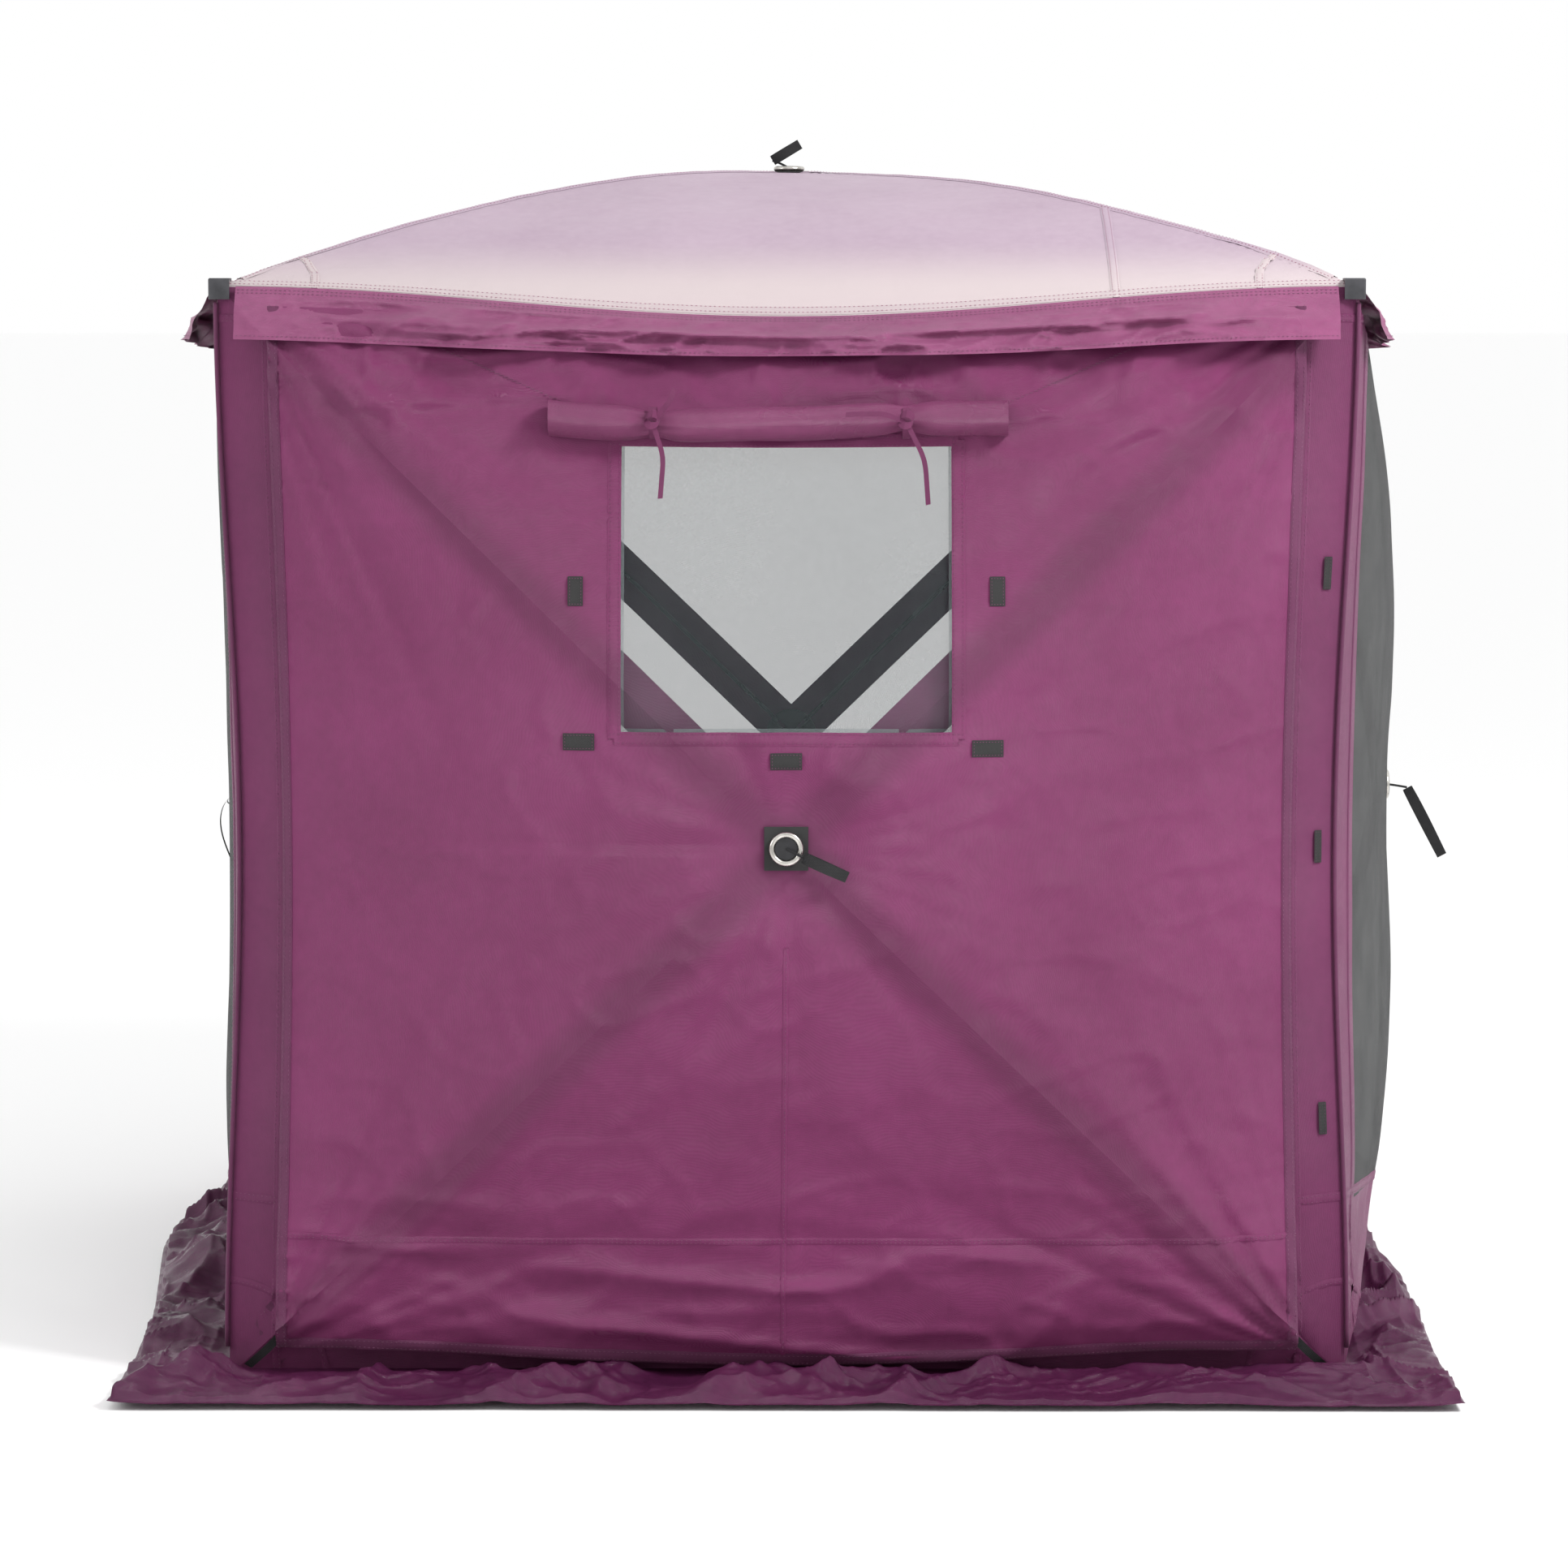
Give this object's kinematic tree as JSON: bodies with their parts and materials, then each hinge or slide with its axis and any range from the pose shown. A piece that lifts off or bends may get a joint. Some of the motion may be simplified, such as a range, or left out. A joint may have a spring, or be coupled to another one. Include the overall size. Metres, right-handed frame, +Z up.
{
  "type": "ice fishing shelter",
  "caption": "Square pop-up hub ice fishing shelter: bowed fabric walls and roof over rods that fold in at a hub, snow skirt, window.",
  "frame": {"origin": "on the ice under the middle of the shelter", "axes": "+Z up, -Y toward the front wall with the window, +X to the right as seen from the front"},
  "size_m": [2.3533, 2.33, 2.0433],
  "materials": {
    "wall_fabric": "coated oxford cloth and mesh, satin",
    "panel_fabric": "coated oxford cloth, satin",
    "roof_fabric": "coated oxford cloth, satin",
    "valance_fabric": "coated oxford cloth, satin",
    "skirt_fabric": "coated oxford cloth, satin",
    "screen_mesh": "fine woven mesh, matte",
    "webbing": "woven webbing, matte",
    "hook_loop": "hook-and-loop, matte",
    "moulding": "moulded nylon, matte",
    "cap_moulding": "moulded nylon, matte",
    "rod": "fibreglass rod",
    "ring_metal": "nickel plate",
    "pin_steel": "steel",
    "zip": "coil zip"
  },
  "bodies": {
    "shelter": {"wall_front": "wall_fabric", "wall_right": "wall_fabric", "wall_back": "wall_fabric", "wall_left": "wall_fabric", "roof_canopy": "roof_fabric", "top_corner_brackets": "moulding", "foot_brackets": "moulding", "corner_caps": "cap_moulding", "corner_piping": "panel_fabric", "roof_valances": "valance_fabric", "snow_skirt": "skirt_fabric", "wind_panel": "panel_fabric", "window_screen": "screen_mesh", "flap_roll": "panel_fabric", "flap_ties": "panel_fabric", "hook_loop_patches": "hook_loop", "panel_corner_straps": "webbing", "door_zip": "zip", "pivot_pins": "pin_steel"},
    "hub_front": {"hub_front": "moulding", "hub_patch_front": "webbing", "hub_ring_front": "ring_metal", "pull_strap_front": "webbing"},
    "rod_front_1": {"rod_front_1": "rod"},
    "rod_front_2": {"rod_front_2": "rod"},
    "rod_front_3": {"rod_front_3": "rod"},
    "rod_front_4": {"rod_front_4": "rod"},
    "hub_right": {"hub_right": "moulding", "hub_patch_right": "webbing", "hub_ring_right": "ring_metal", "pull_strap_right": "webbing"},
    "rod_right_1": {"rod_right_1": "rod"},
    "rod_right_2": {"rod_right_2": "rod"},
    "rod_right_3": {"rod_right_3": "rod"},
    "rod_right_4": {"rod_right_4": "rod"},
    "hub_back": {"hub_back": "moulding", "hub_patch_back": "webbing", "hub_ring_back": "ring_metal", "pull_strap_back": "webbing"},
    "rod_back_1": {"rod_back_1": "rod"},
    "rod_back_2": {"rod_back_2": "rod"},
    "rod_back_3": {"rod_back_3": "rod"},
    "rod_back_4": {"rod_back_4": "rod"},
    "hub_left": {"hub_left": "moulding", "hub_patch_left": "webbing", "hub_ring_left": "ring_metal", "pull_strap_left": "webbing"},
    "rod_left_1": {"rod_left_1": "rod"},
    "rod_left_2": {"rod_left_2": "rod"},
    "rod_left_3": {"rod_left_3": "rod"},
    "rod_left_4": {"rod_left_4": "rod"},
    "hub_roof": {"hub_roof": "moulding", "hub_patch_roof": "webbing", "hub_ring_roof": "ring_metal", "pull_strap_roof": "webbing"},
    "rod_roof_1": {"rod_roof_1": "rod"},
    "rod_roof_2": {"rod_roof_2": "rod"},
    "rod_roof_3": {"rod_roof_3": "rod"},
    "rod_roof_4": {"rod_roof_4": "rod"},
    "zip_slider": {"zip_slider": "zip"}
  },
  "joints": [
    {"name": "hub_front_pop", "type": "slide", "parent": "shelter", "child": "hub_front", "axis": [0, 1, 0], "range_m": [0, 0.328], "deforming": ["wall_front", "wind_panel", "window_screen", "flap_roll", "flap_ties", "hook_loop_patches"]},
    {"name": "rod_front_1_swing", "type": "hinge", "parent": "shelter", "child": "rod_front_1", "pos_m": [0.87, -0.895, 1.735], "axis": [0.6967, 0, -0.7173], "range_deg": [0, 15.92]},
    {"name": "rod_front_2_swing", "type": "hinge", "parent": "shelter", "child": "rod_front_2", "pos_m": [-0.87, -0.895, 1.735], "axis": [0.6967, 0, 0.7173], "range_deg": [0, 15.92]},
    {"name": "rod_front_3_swing", "type": "hinge", "parent": "shelter", "child": "rod_front_3", "pos_m": [-0.87, -0.895, 0.045], "axis": [-0.6967, 0, 0.7173], "range_deg": [0, 15.92]},
    {"name": "rod_front_4_swing", "type": "hinge", "parent": "shelter", "child": "rod_front_4", "pos_m": [0.87, -0.895, 0.045], "axis": [-0.6967, 0, -0.7173], "range_deg": [0, 15.92]},
    {"name": "hub_right_pop", "type": "slide", "parent": "shelter", "child": "hub_right", "axis": [-1, 0, 0], "range_m": [0, 0.328], "deforming": ["wall_right"]},
    {"name": "rod_right_1_swing", "type": "hinge", "parent": "shelter", "child": "rod_right_1", "pos_m": [0.895, 0.87, 1.735], "axis": [0, 0.6967, -0.7173], "range_deg": [0, 15.92]},
    {"name": "rod_right_2_swing", "type": "hinge", "parent": "shelter", "child": "rod_right_2", "pos_m": [0.895, -0.87, 1.735], "axis": [0, 0.6967, 0.7173], "range_deg": [0, 15.92]},
    {"name": "rod_right_3_swing", "type": "hinge", "parent": "shelter", "child": "rod_right_3", "pos_m": [0.895, -0.87, 0.045], "axis": [0, -0.6967, 0.7173], "range_deg": [0, 15.92]},
    {"name": "rod_right_4_swing", "type": "hinge", "parent": "shelter", "child": "rod_right_4", "pos_m": [0.895, 0.87, 0.045], "axis": [0, -0.6967, -0.7173], "range_deg": [0, 15.92]},
    {"name": "hub_back_pop", "type": "slide", "parent": "shelter", "child": "hub_back", "axis": [0, -1, 0], "range_m": [0, 0.328], "deforming": ["wall_back"]},
    {"name": "rod_back_1_swing", "type": "hinge", "parent": "shelter", "child": "rod_back_1", "pos_m": [-0.87, 0.895, 1.735], "axis": [-0.6967, 0, -0.7173], "range_deg": [0, 15.92]},
    {"name": "rod_back_2_swing", "type": "hinge", "parent": "shelter", "child": "rod_back_2", "pos_m": [0.87, 0.895, 1.735], "axis": [-0.6967, 0, 0.7173], "range_deg": [0, 15.92]},
    {"name": "rod_back_3_swing", "type": "hinge", "parent": "shelter", "child": "rod_back_3", "pos_m": [0.87, 0.895, 0.045], "axis": [0.6967, 0, 0.7173], "range_deg": [0, 15.92]},
    {"name": "rod_back_4_swing", "type": "hinge", "parent": "shelter", "child": "rod_back_4", "pos_m": [-0.87, 0.895, 0.045], "axis": [0.6967, 0, -0.7173], "range_deg": [0, 15.92]},
    {"name": "hub_left_pop", "type": "slide", "parent": "shelter", "child": "hub_left", "axis": [1, 0, 0], "range_m": [0, 0.158], "deforming": ["wall_left"]},
    {"name": "rod_left_1_swing", "type": "hinge", "parent": "shelter", "child": "rod_left_1", "pos_m": [-0.895, -0.87, 1.735], "axis": [0, -0.6967, -0.7173], "range_deg": [0, 7.71]},
    {"name": "rod_left_2_swing", "type": "hinge", "parent": "shelter", "child": "rod_left_2", "pos_m": [-0.895, 0.87, 1.735], "axis": [0, -0.6967, 0.7173], "range_deg": [0, 7.71]},
    {"name": "rod_left_3_swing", "type": "hinge", "parent": "shelter", "child": "rod_left_3", "pos_m": [-0.895, 0.87, 0.045], "axis": [0, 0.6967, 0.7173], "range_deg": [0, 7.71]},
    {"name": "rod_left_4_swing", "type": "hinge", "parent": "shelter", "child": "rod_left_4", "pos_m": [-0.895, -0.87, 0.045], "axis": [0, 0.6967, -0.7173], "range_deg": [0, 7.71]},
    {"name": "hub_roof_pop", "type": "slide", "parent": "shelter", "child": "hub_roof", "axis": [0, 0, -1], "range_m": [0, 0.428], "deforming": ["roof_canopy"]},
    {"name": "rod_roof_1_swing", "type": "hinge", "parent": "shelter", "child": "rod_roof_1", "pos_m": [0.87, 0.87, 1.76], "axis": [0.7071, -0.7071, 0], "range_deg": [0, 20.38]},
    {"name": "rod_roof_2_swing", "type": "hinge", "parent": "shelter", "child": "rod_roof_2", "pos_m": [-0.87, 0.87, 1.76], "axis": [0.7071, 0.7071, 0], "range_deg": [0, 20.38]},
    {"name": "rod_roof_3_swing", "type": "hinge", "parent": "shelter", "child": "rod_roof_3", "pos_m": [-0.87, -0.87, 1.76], "axis": [-0.7071, 0.7071, 0], "range_deg": [0, 20.38]},
    {"name": "rod_roof_4_swing", "type": "hinge", "parent": "shelter", "child": "rod_roof_4", "pos_m": [0.87, -0.87, 1.76], "axis": [-0.7071, -0.7071, 0], "range_deg": [0, 20.38]},
    {"name": "zip_slide", "type": "slide", "parent": "shelter", "child": "zip_slider", "axis": [0, 0, -1], "range_m": [0, 1.42]}
  ],
  "couplings": [
    {"joint": "rod_front_1_swing", "follows": "hub_front_pop", "rad_per_m": 0.84644},
    {"joint": "rod_front_2_swing", "follows": "hub_front_pop", "rad_per_m": 0.84644},
    {"joint": "rod_front_3_swing", "follows": "hub_front_pop", "rad_per_m": 0.84644},
    {"joint": "rod_front_4_swing", "follows": "hub_front_pop", "rad_per_m": 0.84644},
    {"joint": "rod_right_1_swing", "follows": "hub_right_pop", "rad_per_m": 0.84644},
    {"joint": "rod_right_2_swing", "follows": "hub_right_pop", "rad_per_m": 0.84644},
    {"joint": "rod_right_3_swing", "follows": "hub_right_pop", "rad_per_m": 0.84644},
    {"joint": "rod_right_4_swing", "follows": "hub_right_pop", "rad_per_m": 0.84644},
    {"joint": "rod_back_1_swing", "follows": "hub_back_pop", "rad_per_m": 0.84644},
    {"joint": "rod_back_2_swing", "follows": "hub_back_pop", "rad_per_m": 0.84644},
    {"joint": "rod_back_3_swing", "follows": "hub_back_pop", "rad_per_m": 0.84644},
    {"joint": "rod_back_4_swing", "follows": "hub_back_pop", "rad_per_m": 0.84644},
    {"joint": "rod_left_1_swing", "follows": "hub_left_pop", "rad_per_m": 0.85064},
    {"joint": "rod_left_2_swing", "follows": "hub_left_pop", "rad_per_m": 0.85064},
    {"joint": "rod_left_3_swing", "follows": "hub_left_pop", "rad_per_m": 0.85064},
    {"joint": "rod_left_4_swing", "follows": "hub_left_pop", "rad_per_m": 0.85064},
    {"joint": "rod_roof_1_swing", "follows": "hub_roof_pop", "rad_per_m": 0.83052},
    {"joint": "rod_roof_2_swing", "follows": "hub_roof_pop", "rad_per_m": 0.83052},
    {"joint": "rod_roof_3_swing", "follows": "hub_roof_pop", "rad_per_m": 0.83052},
    {"joint": "rod_roof_4_swing", "follows": "hub_roof_pop", "rad_per_m": 0.83052}
  ]
}
